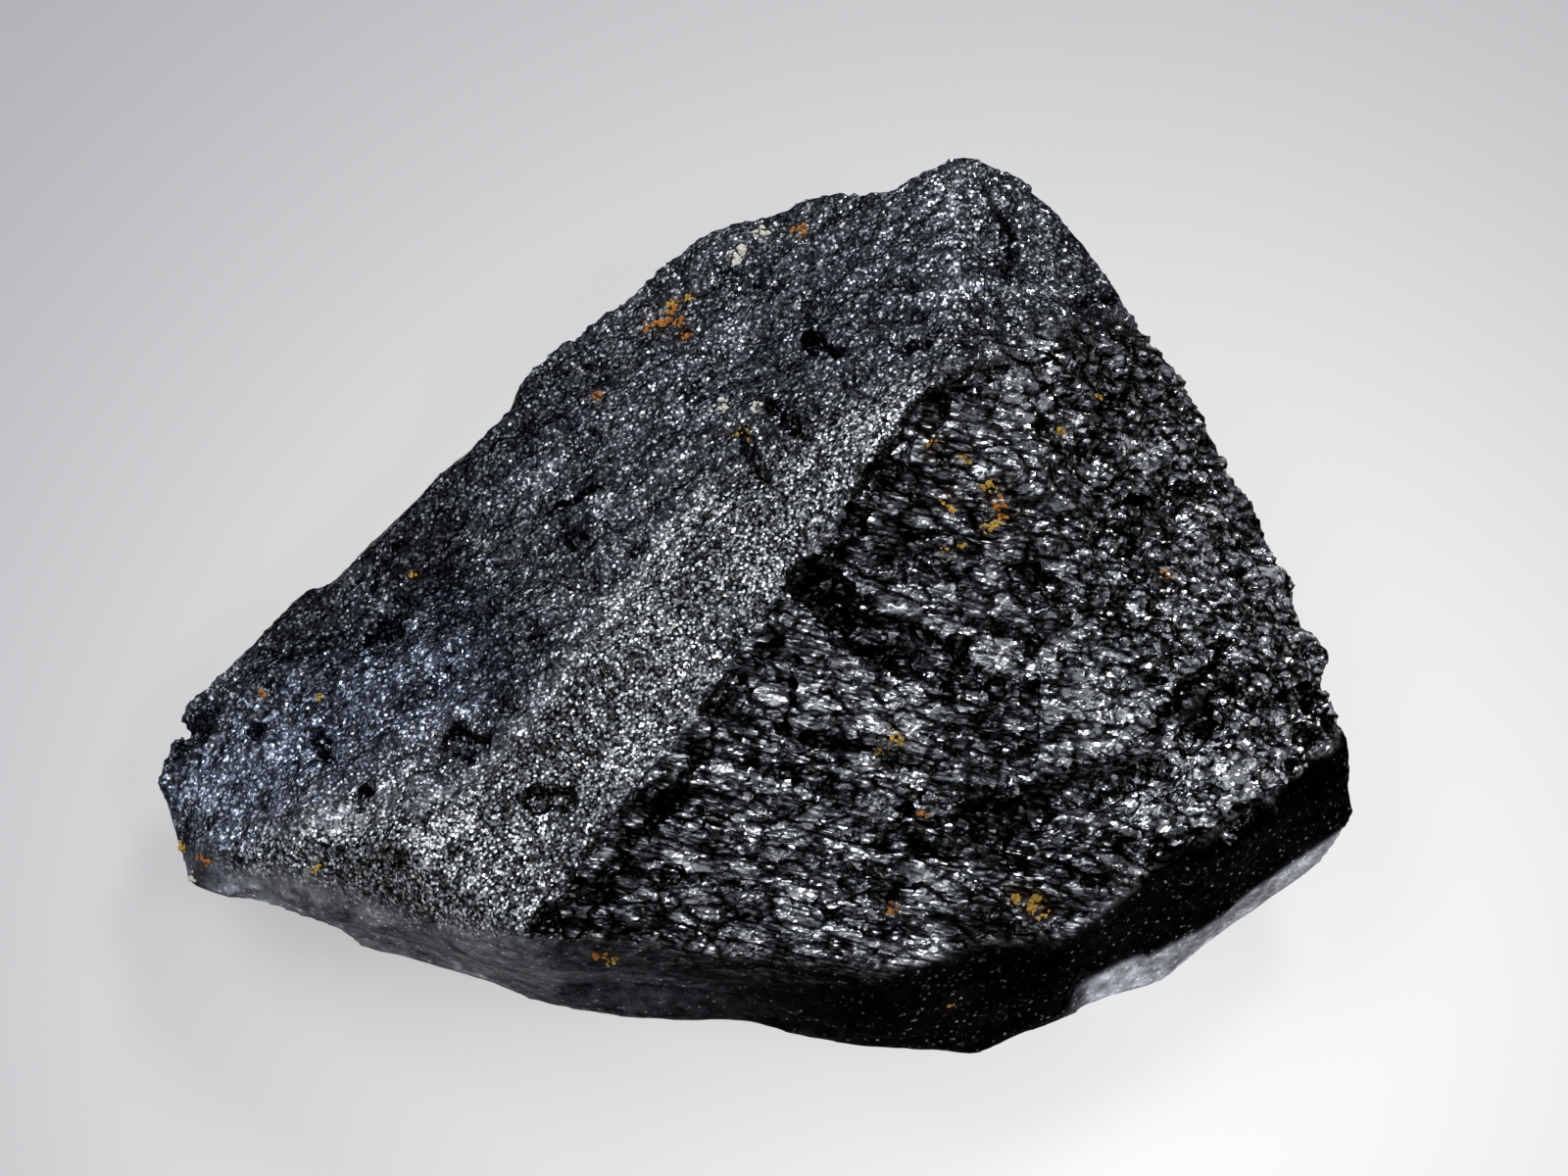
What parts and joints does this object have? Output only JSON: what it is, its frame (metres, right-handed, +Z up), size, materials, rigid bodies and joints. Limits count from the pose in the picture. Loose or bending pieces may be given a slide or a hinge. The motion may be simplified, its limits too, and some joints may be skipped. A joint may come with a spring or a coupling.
{
  "type": "tapiolite crystal",
  "caption": "Loose black tapiolite crystal with a sloping ridge, a striated side face and a thin tip, lying on its flat broken back.",
  "frame": {"origin": "centre of the crystal's bounding box in plan, on the flat face that it lies on", "axes": "+Z up, out of the face it lies on; +X along the crystal away from its thin tip; -Y towards its steep front"},
  "size_m": [0.026, 0.0186, 0.0099],
  "materials": {
    "tapiolite": "submetallic, finely crystalline black"
  },
  "bodies": {
    "root": {"crystal": "tapiolite"}
  },
  "joints": []
}
